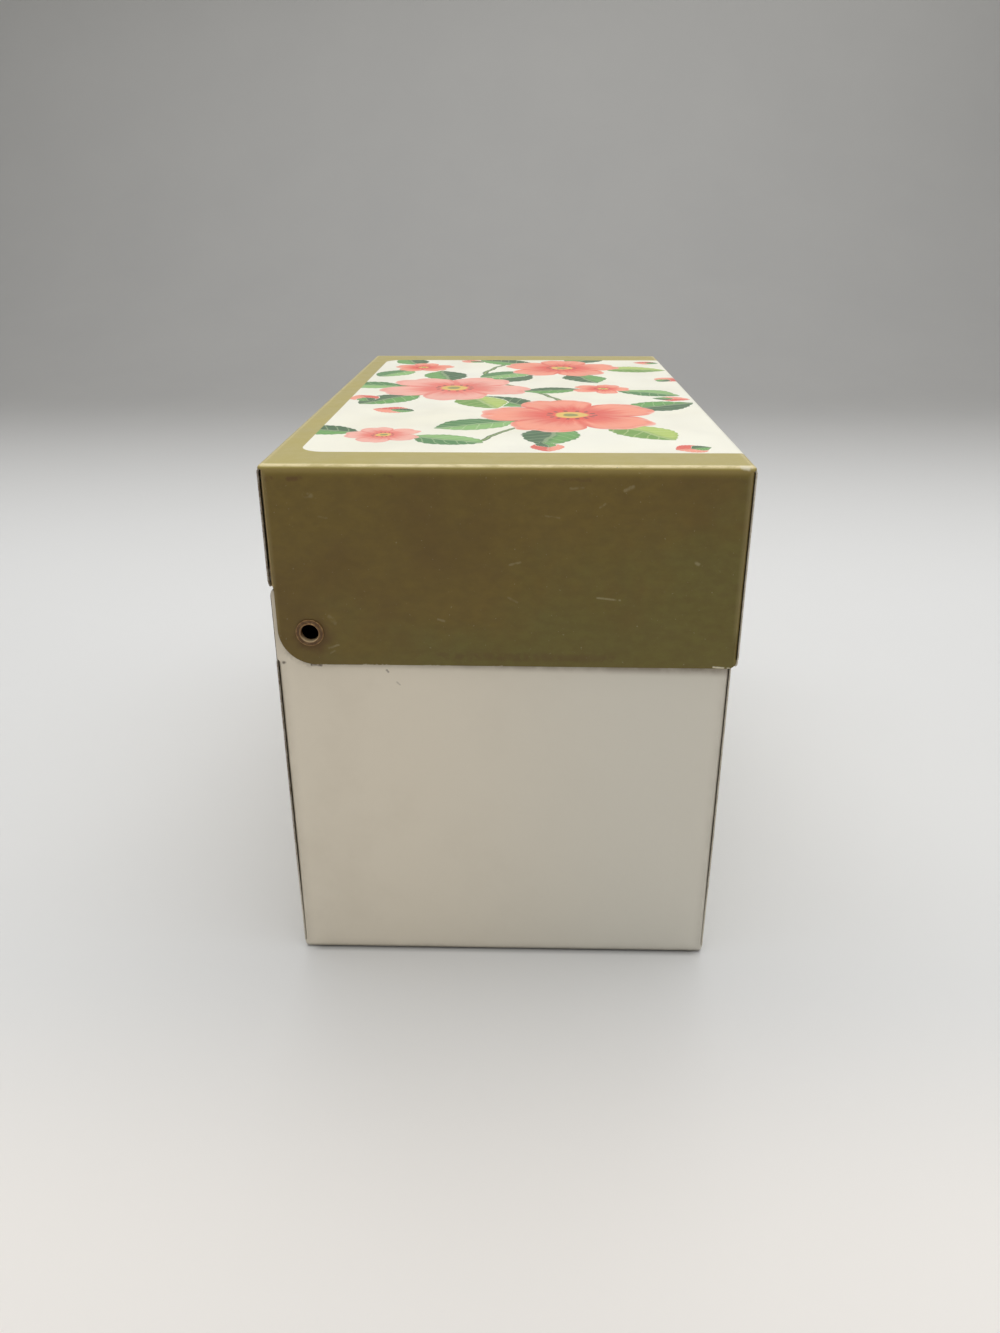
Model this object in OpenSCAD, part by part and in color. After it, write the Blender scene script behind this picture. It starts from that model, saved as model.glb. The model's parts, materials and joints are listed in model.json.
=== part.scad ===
// Hinged recipe card tin for 3 x 5 inch cards.
// A deep base and a cap lid, each folded from one tinplate blank, turn on two hollow eyelets.
// Millimetres. Length runs along X, the front faces -Y, and the tin stands on z = 0, centred.

/* [Overall size] */
// Length of the closed tin, end skirt to end skirt
box_l = 136.5; // [110:0.5:168]
// Depth of the closed tin, front to back
box_w = 77.5; // [64:0.5:96]
// Height of the closed tin
box_h = 94; // [78:0.5:120]

/* [Tinplate] */
// Thickness of the sheet
sheet_t = 0.24; // [0.2:0.01:0.3]
// Outside radius of the long folds
fold_r = 0.8; // [0.5:0.05:1.2]
// How far each folded-back hem reaches
hem_depth = 3; // [2:0.1:3.6]
// Width of the corner flanges spot-welded behind the front and back walls
flange_w = 7; // [4:0.5:12]
// How deep a corner flange beds into the wall over it
flange_bed = 0.03; // [0.02:0.01:0.05]
// Height of the closed corner between a long fold and the start of its seam
corner_h = 1.5; // [1.3:0.1:3]
// Slack between a notched edge and the fold that passes it
notch_gap = 0.3; // [0.2:0.05:0.6]
// Width of the open seam between a flat end panel and the wall beside it
seam_gap = 0.1; // [0.05:0.05:0.3]

/* [Lid] */
// Height of the lid's front and end skirts
skirt_h = 33.8; // [28:0.2:42]
// Gap between the lid's back hem and the base rim under it
back_gap = 0.7; // [0.5:0.1:1.5]
// Radius of the lower front corner of each end skirt
skirt_corner_r = 1; // [0.5:0.1:2]

/* [Hinge] */
// Radius of the rounded ear round each pivot
ear_r = 5.8; // [4.8:0.1:7.5]
// How far the ear stays in from the tin's back
ear_inset = 0.4; // [0.3:0.05:0.8]
// Height of the base rim over the pivot
rim_over_pivot = 7.1; // [6.6:0.1:8.5]
// Gap between a lid end skirt and the base end panel
end_gap = 0.2; // [0.15:0.05:0.4]
// Least gap between the base's front rim and the lid as it swings
swing_gap = 0.1; // [0.08:0.01:0.3]

/* [Eyelets] */
// Bore of the hollow eyelet
eyelet_bore = 3; // [2.4:0.1:3.6]
// Wall of the eyelet's barrel
eyelet_wall = 0.2; // [0.15:0.05:0.3]
// Diameter of the eyelet's head, outside the lid
head_d = 4.7; // [4.4:0.1:5.6]
// Diameter of the clinched end, inside the base
clinch_d = 4.4; // [4.2:0.1:5]
// Height of the rolled lip round the bore above the head
lip_h = 0.14; // [0.05:0.01:0.2]
// Radial clearance of the barrel in the lid, which turns on it
lid_clearance = 0.05; // [0.03:0.01:0.1]
// Radial clearance of the barrel in the base
base_clearance = 0.02; // [0.01:0.01:0.05]
// Clearance under the eyelet's head
head_clearance = 0.03; // [0.02:0.01:0.1]

/* [Hidden] */
$fn = 64;
olive = "#7d6f40";
cream = "#d8d2bd";
brass = "#9a7a45";

half_l = box_l / 2;
half_w = box_w / 2;
hem_t = 2 * sheet_t;
// Each hem stands in a zone of its own, past the ends of the corner flanges
hem_zone = hem_depth + notch_gap;

// The pivot runs along X, and the ears are rounded about it
pivot_y = half_w - ear_inset - ear_r;
skirt_z = box_h - skirt_h;
pivot_z = skirt_z + ear_r;

// The base stands inside the lid, and only its back is flush with the lid's back
rim_z = pivot_z + rim_over_pivot;
base_half_l = half_l - sheet_t - end_gap;
base_back_y = half_w;
// The lid's front hem and flanges pass the pivot no closer than their inner face, less the swing gap
swing_reach = pivot_y + half_w - hem_t - swing_gap;
// The farthest point of the base's front rim is on its round, which is one sheet in radius
front_reach = sheet_t + sqrt(pow(swing_reach - sheet_t, 2) - pow(rim_over_pivot - sheet_t, 2));
base_front_y = pivot_y - front_reach;

// The short back skirt ends just over the base's back rim
back_skirt_z = rim_z + back_gap;

barrel_r = eyelet_bore / 2 + eyelet_wall;

// Section across a folded tray standing on zero: square shoulders above, folds of radius r below
module tray_section(low, high, h, r) {
    translate([low, r])
        square([high - low, h - r]);
    translate([low + r, 0])
        square([high - low - 2 * r, h]);
    for (x = [low + r, high - r])
        translate([x, r])
            circle(r = r);
}

// Solid block with all four lower edges folded at radius r
module folded_block(half_x, low_y, high_y, h, r) {
    intersection() {
        translate([-half_x, 0, 0])
            rotate([90, 0, 90])
                linear_extrude(2 * half_x)
                    tray_section(low_y, high_y, h, r);
        translate([0, high_y, 0])
            rotate([90, 0, 0])
                linear_extrude(high_y - low_y)
                    tray_section(-half_x, half_x, h, r);
    }
}

// The flat panel of a blank with its four folds, as high as the closed corners
module folded_pan(half_x, low_y, high_y) {
    difference() {
        folded_block(half_x, low_y, high_y, corner_h, fold_r);
        translate([0, 0, sheet_t])
            folded_block(half_x - sheet_t, low_y + sheet_t, high_y - sheet_t, corner_h, fold_r - sheet_t);
    }
}

// Hemmed edge along X: its crest at z = 0 and its outer face at y = 0, folded over towards +Y.
// The sheet is sheet_half_x long to each side, and the folded-back strip is hem_half_x.
module hemmed_edge(sheet_half_x, hem_half_x) {
    translate([-sheet_half_x, 0, -hem_zone])
        cube([2 * sheet_half_x, sheet_t, hem_zone - sheet_t]);
    translate([-hem_half_x, 0, 0])
        rotate([90, 0, 90])
            linear_extrude(2 * hem_half_x) {
                translate([0, -hem_depth])
                    square([hem_t, hem_depth - sheet_t]);
                translate([sheet_t, -sheet_t])
                    circle(r = sheet_t);
            }
}

// Front or back wall along X from z = 0 to h, outer face at y = 0, its crest hemmed over towards +Y.
// The hemmed edge stops a seam short of the end panels, whose outer faces are at half_x.
module hemmed_wall(half_x, h) {
    edge_half_x = half_x - sheet_t - seam_gap;
    translate([-half_x, 0, 0])
        cube([2 * half_x, sheet_t, h - hem_zone]);
    translate([0, 0, h])
        hemmed_edge(edge_half_x, edge_half_x);
}

// Plan outline with its corners rounded to r
module plan_outline(half_x, low_y, high_y, r) {
    translate([-half_x, low_y + r])
        square([2 * half_x, high_y - low_y - 2 * r]);
    translate([-half_x + r, low_y])
        square([2 * (half_x - r), high_y - low_y]);
    for (x = [-half_x + r, half_x - r], y = [low_y + r, high_y - r])
        translate([x, y])
            circle(r = r);
}

// Both end panels between two levels, each folded round into its flanges behind the front and back walls.
// The low_y and high_y are the outer faces of those walls, and only from_y to to_y is kept.
module flanged_ends(half_x, low_y, high_y, from_z, to_z, from_y, to_y) {
    tuck = sheet_t - flange_bed;
    translate([0, 0, from_z])
        linear_extrude(to_z - from_z)
            intersection() {
                difference() {
                    plan_outline(half_x, low_y + tuck, high_y - tuck, fold_r);
                    plan_outline(half_x - sheet_t, low_y + tuck + sheet_t, high_y - tuck - sheet_t,
                                 fold_r - sheet_t);
                    translate([-half_x + flange_w, low_y])
                        square([2 * (half_x - flange_w), high_y - low_y]);
                }
                translate([-half_x, from_y])
                    square([2 * half_x, to_y - from_y]);
            }
}

// A barrel-sized hole through both ends at the pivot
module pivot_holes(clearance) {
    translate([-half_l, pivot_y, pivot_z])
        rotate([0, 90, 0])
            cylinder(r = barrel_r + clearance, h = box_l);
}

// Flat, hemmed top of the base's end panel at +X, a seam clear of the walls at both ends
module base_end_top() {
    edge_half_y = (base_back_y - base_front_y) / 2 - sheet_t - seam_gap;
    translate([base_half_l, (base_back_y + base_front_y) / 2, rim_z])
        rotate([0, 0, 90])
            hemmed_edge(edge_half_y, edge_half_y - sheet_t);
}

module base_shell() {
    color(cream)
        difference() {
            union() {
                folded_pan(base_half_l, base_front_y, base_back_y);
                // Front and back walls, with their rims hemmed in
                translate([0, base_front_y, corner_h])
                    hemmed_wall(base_half_l, rim_z - corner_h);
                translate([0, base_back_y, corner_h])
                    rotate([0, 0, 180])
                        hemmed_wall(base_half_l, rim_z - corner_h);
                // End panels with their flanges, which stop short of the hems
                flanged_ends(base_half_l, base_front_y, base_back_y, corner_h, rim_z - hem_zone,
                             base_front_y, base_back_y);
                for (flip = [0, 1])
                    mirror([flip, 0, 0])
                        base_end_top();
            }
            pivot_holes(base_clearance);
        }
}

// Side view of a lid end skirt below its flanges, as (y, z), with the round ear at its back
module skirt_outline(front_y, front_top_z, back_top_z) {
    translate([front_y + skirt_corner_r, skirt_z])
        square([pivot_y - front_y - skirt_corner_r, front_top_z - skirt_z]);
    translate([front_y, skirt_z + skirt_corner_r])
        square([pivot_y - front_y, front_top_z - skirt_z - skirt_corner_r]);
    translate([front_y + skirt_corner_r, skirt_z + skirt_corner_r])
        circle(r = skirt_corner_r);
    translate([pivot_y, pivot_z])
        circle(r = ear_r);
    translate([0, skirt_z + skirt_corner_r])
        square([pivot_y, back_top_z - skirt_z - skirt_corner_r]);
    translate([pivot_y, pivot_z])
        square([ear_r, back_top_z - pivot_z]);
}

module lid_shell() {
    seam_top_z = box_h - corner_h;
    front_flange_z = skirt_z + hem_zone;
    back_flange_z = back_skirt_z + hem_zone;
    color(olive)
        difference() {
            union() {
                translate([0, 0, box_h])
                    mirror([0, 0, 1])
                        folded_pan(half_l, -half_w, half_w);
                // Front skirt, hemmed in along its lower edge
                translate([0, -half_w, seam_top_z])
                    mirror([0, 0, 1])
                        hemmed_wall(half_l, seam_top_z - skirt_z);
                // Short back skirt, hemmed the same way
                translate([0, half_w, seam_top_z])
                    rotate([180, 0, 0])
                        hemmed_wall(half_l, seam_top_z - back_skirt_z);
                // End skirts: flanged front and back above the hems, flat below
                flanged_ends(half_l, -half_w, half_w, front_flange_z, seam_top_z, -half_w, 0);
                flanged_ends(half_l, -half_w, half_w, back_flange_z, seam_top_z, 0, half_w);
                for (x = [-half_l, half_l - sheet_t])
                    translate([x, 0, 0])
                        rotate([90, 0, 90])
                            linear_extrude(sheet_t)
                                skirt_outline(-half_w + sheet_t + seam_gap, front_flange_z, back_flange_z);
            }
            pivot_holes(lid_clearance);
        }
}

// Section of an eyelet as (radius, distance along its barrel from the lid's outer face, inward)
module eyelet_section() {
    bore_r = eyelet_bore / 2;
    head_round = eyelet_wall / 2;
    grip = 2 * sheet_t + end_gap;
    head_y = -head_clearance - eyelet_wall;
    // Barrel through the lid and the base
    translate([bore_r, head_y])
        square([eyelet_wall, eyelet_wall + head_clearance + grip + eyelet_wall]);
    // Flat head with a round rim, outside the lid
    translate([bore_r, head_y])
        square([head_d / 2 - head_round - bore_r, eyelet_wall]);
    translate([head_d / 2 - head_round, head_y + head_round])
        circle(r = head_round);
    // Rolled lip round the bore
    translate([bore_r + eyelet_wall / 2, head_y])
        intersection() {
            circle(r = lip_h);
            translate([-eyelet_wall / 2, -lip_h])
                square([eyelet_wall, 2 * lip_h]);
        }
    // Clinched end against the inside of the base
    translate([bore_r, grip])
        square([clinch_d / 2 - head_round - bore_r, eyelet_wall]);
    translate([clinch_d / 2 - head_round, grip + head_round])
        circle(r = head_round);
}

// The eyelet at -X, whose barrel runs inward along +X
module hinge_eyelet() {
    translate([-half_l, pivot_y, pivot_z])
        rotate([0, 90, 0])
            rotate_extrude()
                eyelet_section();
}

module left_hinge_eyelet() {
    color(brass)
        hinge_eyelet();
}

module right_hinge_eyelet() {
    color(brass)
        mirror([1, 0, 0])
            hinge_eyelet();
}

base_shell();
lid_shell();
left_hinge_eyelet();
right_hinge_eyelet();
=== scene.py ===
import json
import math

import bmesh
import bpy
from mathutils import Matrix, Vector, noise


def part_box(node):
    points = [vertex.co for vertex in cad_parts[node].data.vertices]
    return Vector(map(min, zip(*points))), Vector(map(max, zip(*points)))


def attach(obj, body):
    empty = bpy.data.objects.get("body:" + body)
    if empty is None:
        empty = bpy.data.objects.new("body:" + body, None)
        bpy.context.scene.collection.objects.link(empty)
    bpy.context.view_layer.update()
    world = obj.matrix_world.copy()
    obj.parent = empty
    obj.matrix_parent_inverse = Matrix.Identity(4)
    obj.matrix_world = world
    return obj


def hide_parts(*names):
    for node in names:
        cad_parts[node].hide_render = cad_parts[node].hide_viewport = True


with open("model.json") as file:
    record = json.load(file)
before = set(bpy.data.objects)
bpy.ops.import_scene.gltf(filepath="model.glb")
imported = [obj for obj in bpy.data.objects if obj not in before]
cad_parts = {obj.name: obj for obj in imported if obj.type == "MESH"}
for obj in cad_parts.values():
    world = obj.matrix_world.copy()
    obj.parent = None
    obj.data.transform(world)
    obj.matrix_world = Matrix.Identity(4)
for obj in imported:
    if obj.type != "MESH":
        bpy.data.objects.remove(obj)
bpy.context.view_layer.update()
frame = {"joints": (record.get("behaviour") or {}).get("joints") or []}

# Base: one tinplate blank folded up on four sides, cream enamel outside and bare tin inside.
# Its end panels turn in behind the front and back walls, its corners are closed at the foot,
# and all four rims are folded back inward.
mm = 0.001
plate = 0.24 * mm
fold_r = 0.8 * mm
hem_depth = 3 * mm
hem_r = 0.26 * mm
hem_zone = 3.3 * mm
hem_lean = 0.22 * mm
lean_from = 1.1 * mm
seam_gap = 0.1 * mm
flange_w = 7 * mm
wall_end_r = 0.8 * mm
weld_gap = 0.004 * mm
# Values as near as this are the same
same_gap = 1e-6 * mm
# A wall's points lie at most this far in from its face, and the broad panel's this far down
face_reach = 1.6 * mm
broad_reach = 0.05 * mm
arc_steps = 4
hem_steps = 8
fold_steps = 6
# Where a folded-back strip's points lie, up from the rim
strip_shares = (0.4, 0.7, 1)
# Where the rings round a hole lie, from its edge out to the window's outline
ring_shares = (0, 0.06, 0.2, 0.45, 0.72, 1)
base_low, base_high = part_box("base_shell")
base_half_l = base_high.x
base_h = base_high.z
pivot = Vector(frame["joints"][0]["pos_m"])
base_hole_r = 1.72 * mm
base_hole_margin = 3.2 * mm
# How far in from the faces of the front (-1) and back (1) walls the end panels are folded, and the most
# that their flanges lie behind
base_tucks = {-1: 0.27 * mm, 1: 0.32 * mm}
flange_in = 0.4 * mm
foot_rise = 1.3 * mm
# How much the base's walls bow, how much more its broad panel does, how much of half a wave a wall's bow
# makes from fold to rim, and how finely it varies, per metre
base_bow = 0.16 * mm
broad_bow = 1.6
wall_wave = 0.62
bow_lumps = 28
sharp_angle = math.radians(40)
flat_weight = 80
# Depths between which a corner's seam opens, how far, and the depth at which it is fully open
base_corner = (1.4 * mm, 1.9 * mm, 0.55, 26 * mm)
# Depths at which the end panels' flanges stop and the panels run flat out to the walls
base_notch = (60.1 * mm, 61 * mm)
panel_short = 0.2 * mm
hem_easing = 1 * mm


def spaced(start, stop, steps):
    return [start + (stop - start) * step / steps for step in range(steps + 1)]


def eased(value, start, stop):
    """0 at start, 1 at stop, with a smooth rise between."""
    share = min(max((value - start) / (stop - start), 0), 1)
    return share * share * (3 - 2 * share)


def mixed(first, second, share):
    return [a + (b - a) * share for a, b in zip(first, second)]


def levelled(levels, counts):
    """Values through all the levels, in this many steps up to each. Levels that don't rise are left out."""
    values = levels[:1]
    for level, count in zip(levels[1:], counts):
        if level > values[-1]:
            values += spaced(values[-1], level, count)[1:]
    return values


def span(values, low, high):
    """The values from low to high, both included."""
    return [value for value in values if low - same_gap <= value <= high + same_gap]


def openness(depth, corner):
    """How far a corner's seam is open at a depth: 0 in the closed corner, 1 where it is fully open."""
    opens, opened, share, full = corner
    return eased(depth, opens, opened) * (share + (1 - share) * eased(depth, opened, full))


def lay_patch(mesh, rows):
    """Lays quads between rows of points. Patches share their edge points, and are welded later."""
    placed = [[mesh.verts.new(point) for point in row] for row in rows]
    for lower, upper in zip(placed, placed[1:]):
        for left in range(len(lower) - 1):
            mesh.faces.new([lower[left], lower[left + 1], upper[left + 1], upper[left]])


def fold_start(side, face_y, tuck):
    """The y at which an end panel starts to turn in behind the front (side -1) or back (side 1) wall."""
    return face_y - side * (tuck + fold_r)


def folded_corner(side, face_y, tuck, closed, flat, edge_y, step):
    """Point of an end panel's corner as (inset from the end's face, y), one of 2 * arc_steps + 1.
    closed is 1 in the closed corner, and flat is 1 where the corner stays in the panel's plane."""
    fold_y = fold_start(side, face_y, tuck)
    turn = math.pi / 4 * step / arc_steps
    reach = fold_r + max(tuck - flange_in, 0)
    point = [fold_r * (1 - math.cos(turn)), fold_y + side * reach * math.sin(turn)]
    # The flange itself lies behind the wall even where the seam is nearly closed
    closed *= min(2 - step / arc_steps, 1)
    if closed > 0:
        arc = math.pi / 4 * max(step - 1, 0) / (arc_steps - 1)
        start_y = fold_y if step == 0 else face_y - side * fold_r
        point = mixed(point, [fold_r * (1 - math.cos(arc)), start_y + side * fold_r * math.sin(arc)], closed)
    unfolded = [0, fold_y + (edge_y - fold_y) * step / (2 * arc_steps)]
    return mixed(point, unfolded, flat)


def closed_pan(mesh, half_x, low_y, high_y, xs, columns, rise, closed_h):
    """The blank's middle with its four long folds, which turn down over rise, and its closed corners.
    Points are (x, y, depth), and depth runs from the broad panel to the rims, here and below."""
    in_x = half_x - fold_r
    in_low, in_high = low_y + fold_r, high_y - fold_r
    ys = [in_low] + columns + [in_high]
    lay_patch(mesh, [[(x, y, 0) for x in xs] for y in ys])
    wall_turns, end_turns = (spaced(0, math.pi / 4, steps) for steps in (arc_steps, arc_steps - 1))
    quarter = wall_turns + [math.pi / 2 - turn for turn in end_turns[-2::-1]]
    ring = [(x, in_low, -math.pi / 2) for x in xs]
    ring += [(in_x, in_low, -math.pi / 2 + turn) for turn in quarter[1:]]
    ring += [(in_x, y, 0) for y in ys[1:]]
    ring += [(in_x, in_high, math.pi / 2 - turn) for turn in quarter[-2::-1]]
    ring += [(x, in_high, math.pi / 2) for x in xs[-2::-1]]
    ring += [(-in_x, in_high, math.pi / 2 + turn) for turn in quarter[1:]]
    ring += [(-in_x, y, math.pi) for y in ys[-2::-1]]
    ring += [(-in_x, in_low, 1.5 * math.pi - turn) for turn in quarter[-2::-1]]
    rows = []
    for turn in spaced(0, math.pi / 2, fold_steps):
        out, depth = fold_r * math.sin(turn), rise * (1 - math.cos(turn))
        rows.append([(x + out * math.cos(way), y + out * math.sin(way), depth) for x, y, way in ring])
    rows.append([(x, y, closed_h) for x, y, _ in rows[-1]])
    lay_patch(mesh, rows)


def rim_profile(height, depths):
    """A wall's section as (inset, depth) steps: down depths, round the folded-back rim and up its strip.
    The rim leans in a little, as rolled rims do."""
    turns = spaced(0, math.pi, hem_steps)
    steps = [(0, depth) for depth in depths if depth < height - hem_r]
    steps += [(hem_r - hem_r * math.cos(turn), height - hem_r + hem_r * math.sin(turn)) for turn in turns]
    steps += [(2 * hem_r, height - share * hem_depth) for share in strip_shares]
    leans = [hem_lean * (max(depth - height + lean_from, 0) / lean_from) ** 2 for _, depth in steps]
    return [(inset + lean, depth) for (inset, depth), lean in zip(steps, leans)]


def hemmed_wall(mesh, side, face_y, half_x, xs, height, corner_depths, notch_depths):
    """Front (side -1) or back (side 1) wall from the closed corners to its folded-back rim. It covers the
    end panels' flanges down to notch_depths, and from there stops behind the end panels."""
    levels = [*corner_depths[:2], *notch_depths, height - hem_zone, height - hem_r]
    depths = levelled([min(level, height - hem_r) for level in levels], [4, 20, 4, 3, 8])
    in_x = half_x - fold_r
    rows = []
    for inset, depth in rim_profile(height, depths[:-1]):
        closed = 1 - openness(depth, corner_depths)
        end_x = half_x - (plate + seam_gap) * eased(depth, *notch_depths)
        # The folded-back strip stops short of the corners
        end_x += (in_x - end_x) * eased(inset, hem_r, 2 * hem_r)
        # The wall's corners at its rim are rounded
        down = min(max(depth - (height - wall_end_r), 0), wall_end_r)
        drawn = 1 - (wall_end_r - math.sqrt(wall_end_r ** 2 - down ** 2)) / half_x
        corner = []
        for step in range(1, arc_steps + 1):
            turn = math.pi / 4 * step / arc_steps
            rounded = [in_x + fold_r * math.sin(turn), fold_r * (1 - math.cos(turn))]
            corner.append(mixed([in_x + (end_x - in_x) * step / arc_steps, 0], rounded, closed))
        row = [(-x, back) for x, back in corner[::-1]] + [(x, 0) for x in xs] + corner
        rows.append([(x * drawn, face_y - side * (inset + back), depth) for x, back in row])
    lay_patch(mesh, rows)


def flanged_corner(mesh, end, half_x, side, face_y, tuck, edge_y, depths, corner_depths, flange_to,
                   flat_depths):
    """The corner of the end panel at x = end * half_x: folded in behind the wall, with a flange down to
    flange_to, and flat below flat_depths, where edge_y is its free edge."""
    def corner_row(depth, first, last):
        closed = 1 - openness(depth, corner_depths)
        flat = eased(depth, *flat_depths)
        steps = range(first, last + 1)
        found = [folded_corner(side, face_y, tuck, closed, flat, edge_y, step) for step in steps]
        return [(end * (half_x - inset), y, depth) for inset, y in found]

    lay_patch(mesh, [corner_row(depth, 0, arc_steps) for depth in depths])
    opened = span(depths, corner_depths[1], depths[-1])
    lay_patch(mesh, [corner_row(depth, arc_steps, 2 * arc_steps) for depth in opened])
    flange = []
    for depth in span(opened, 0, flange_to):
        x, y, _ = corner_row(depth, 2 * arc_steps, 2 * arc_steps)[0]
        flange.append([(x - end * reach, y, depth) for reach in spaced(0, flange_w - fold_r, 3)])
    lay_patch(mesh, flange)


def holed_panel(mesh, columns, depths, inside, outline, centre, hole_r, place):
    """A flat panel of columns by depths, less the cells inside a window, which is filled with rings of
    quads from the round hole at centre out to the window's outline."""
    for low, high in zip(depths, depths[1:]):
        for left, right in zip(columns, columns[1:]):
            if not inside((left + right) / 2, (low + high) / 2):
                lay_patch(mesh, [[place(y, depth) for y in (left, right)] for depth in (low, high)])
    outline = outline + outline[:1]
    hole = [centre + hole_r * (Vector(point) - centre).normalized() for point in outline]
    lay_patch(mesh, [[place(*mixed(on_hole, point, share)) for on_hole, point in zip(hole, outline)]
                     for share in ring_shares])


def bowed(point, half_x, low_y, high_y, height, amount):
    """A hand-handled panel isn't quite flat: each bows inward a little, and most in its middle. Gives the
    shift of a point (x, y, depth). The broad panel bows most, and no two places quite alike."""
    x, y, depth = point
    mid_y, half_y = (low_y + high_y) / 2, (high_y - low_y) / 2
    along, across = (max(1 - share * share, 0) for share in (x / half_x, (y - mid_y) / half_y))
    amount *= 0.75 + 0.5 * noise.noise(point * bow_lumps)
    fall = math.sin(math.pi * wall_wave * min(depth / height, 1))
    shift = Vector((0, 0, 0))
    if half_x - abs(x) < face_reach:
        shift.x = -math.copysign(amount * fall * across, x)
    if min(y - low_y, high_y - y) < face_reach:
        shift.y = -math.copysign(amount * fall * along, y - mid_y)
    if depth < broad_reach:
        shift.z = broad_bow * amount * along * across
    return shift


def add_object(name, data):
    piece = bpy.data.objects.new(name, data)
    bpy.context.scene.collection.objects.link(piece)
    return piece


def weld(mesh):
    """Welds patches along the points that they share, and turns their faces the same way."""
    bmesh.ops.remove_doubles(mesh, verts=mesh.verts, dist=weld_gap)
    bmesh.ops.recalc_face_normals(mesh, faces=mesh.faces)


def mesh_data(name, mesh, materials):
    data = bpy.data.meshes.new(name)
    mesh.to_mesh(data)
    mesh.free()
    for material in materials:
        data.materials.append(material)
    return data


def sheet_piece(name, mesh, outward, materials):
    """Gives the outer face of a blank its thickness inward. A third of the materials are for the outer
    faces, the next third for the inner ones and the last for the cut edges."""
    weld(mesh)
    mesh.normal_update()
    middle = max(mesh.faces, key=lambda face: face.calc_area() * (face.normal.cross(outward).length < 0.1))
    if middle.normal.dot(outward) < 0:
        bmesh.ops.reverse_faces(mesh, faces=mesh.faces)
    rough = add_object(name + "_blank", mesh_data(name + "_blank", mesh, materials))
    thickness = rough.modifiers.new("plate", "SOLIDIFY")
    thickness.thickness = plate
    thickness.offset = -1
    thickness.use_even_offset = True
    thickness.use_quality_normals = True
    thickness.material_offset = len(materials) // 3
    thickness.material_offset_rim = 2 * len(materials) // 3
    bpy.context.view_layer.update()
    sheet = bpy.data.meshes.new_from_object(rough.evaluated_get(bpy.context.evaluated_depsgraph_get()))
    bpy.data.objects.remove(rough)
    sheet.name = name
    sheet.shade_smooth()
    sheet.set_sharp_from_angle(angle=sharp_angle)
    piece = add_object(name, sheet)
    weighted = piece.modifiers.new("flat panels", "WEIGHTED_NORMAL")
    weighted.keep_sharp = True
    weighted.weight = flat_weight
    return piece


def linear(colour):
    """A colour of 0 to 255 in the linear values that Blender takes."""
    channels = [part / 255 for part in colour]
    return [c / 12.92 if c <= 0.04045 else ((c + 0.055) / 1.055) ** 2.4 for c in channels] + [1]


def operator(operation, swapped=False):
    """A method of Value that adds a math node, or a vector math node where the value is a vector."""
    def method(self, *others):
        values = (*others, self) if swapped else (self, *others)
        add = self.recipe.vector if self.socket.type == "VECTOR" else self.recipe.math
        return add(operation, *values)
    return method


class Value:
    """The output of a shader node. Arithmetic on it adds nodes."""

    def __init__(self, recipe, socket):
        self.recipe = recipe
        self.socket = socket

    __add__ = operator("ADD")
    __radd__ = operator("ADD", swapped=True)
    __sub__ = operator("SUBTRACT")
    __rsub__ = operator("SUBTRACT", swapped=True)
    __mul__ = operator("MULTIPLY")
    __truediv__ = operator("DIVIDE")
    __abs__ = operator("ABSOLUTE")


class Recipe:
    """A short way to write shader nodes: each call adds a node and gives back its output."""

    def __init__(self, tree):
        self.tree = tree

    def join(self, value, socket):
        """Joins or sets a socket. A colour of three values is given 0 to 255, as paint is matched."""
        if isinstance(value, Value):
            self.tree.links.new(value.socket, socket)
        elif socket.type == "RGBA" and len(value) == 3:
            socket.default_value = linear(value)
        else:
            socket.default_value = value

    def join_all(self, values, sockets):
        for key, value in values.items():
            self.join(value, sockets[key])

    def add(self, kind, inputs, **settings):
        """A node of any kind, its inputs given by number or name. Gives back all of its outputs."""
        node = self.tree.nodes.new("ShaderNode" + kind)
        for name, setting in settings.items():
            setattr(node, name, setting)
        self.join_all(inputs, node.inputs)
        return [Value(self, socket) for socket in node.outputs]

    def math(self, operation, *values, clamp=False):
        return self.add("Math", dict(enumerate(values)), operation=operation, use_clamp=clamp)[0]

    def vector(self, operation, *values):
        gives_number = operation in ("LENGTH", "DOT_PRODUCT", "DISTANCE")
        return self.add("VectorMath", dict(enumerate(values)), operation=operation)[gives_number]

    def scaled(self, vector, scale):
        return self.add("VectorMath", {"Vector": vector, "Scale": scale}, operation="SCALE")[0]

    def split(self, vector):
        return self.add("SeparateXYZ", {0: vector})

    def combine(self, *values):
        return self.add("CombineXYZ", dict(enumerate(values)))[0]

    def over(self, mask, under, colour):
        """colour laid over under where mask is 1."""
        return self.add("Mix", {0: mask, 6: under, 7: colour}, data_type="RGBA")[2]

    def layered(self, ground, *layers):
        """The ground colour with each (mask, colour) laid over it in turn."""
        for mask, colour in layers:
            ground = self.over(mask, ground, colour)
        return ground

    def step(self, value, start, stop, *ends):
        """Smooth rise from 0 to 1, or between other ends, as value goes from start to stop."""
        values = dict(enumerate((value, start, stop, *ends)))
        return self.add("MapRange", values, interpolation_type="SMOOTHSTEP")[0]

    def noise(self, vector, scale, detail=3, roughness=0.5):
        values = {"Vector": vector, "Scale": scale, "Detail": detail, "Roughness": roughness}
        return self.add("TexNoise", values)[0]

    def spots(self, vector, scale):
        """Distance to the nearest of scattered points, and a chance value of its own for each point."""
        distance, colour, *_ = self.add("TexVoronoi", {"Vector": vector, "Scale": scale})
        return distance, self.split(colour)[0]

    def place(self, group, **values):
        """Places a node group and gives back its outputs by name."""
        return {output.socket.name: output for output in self.add("Group", values, node_tree=group)}


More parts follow.
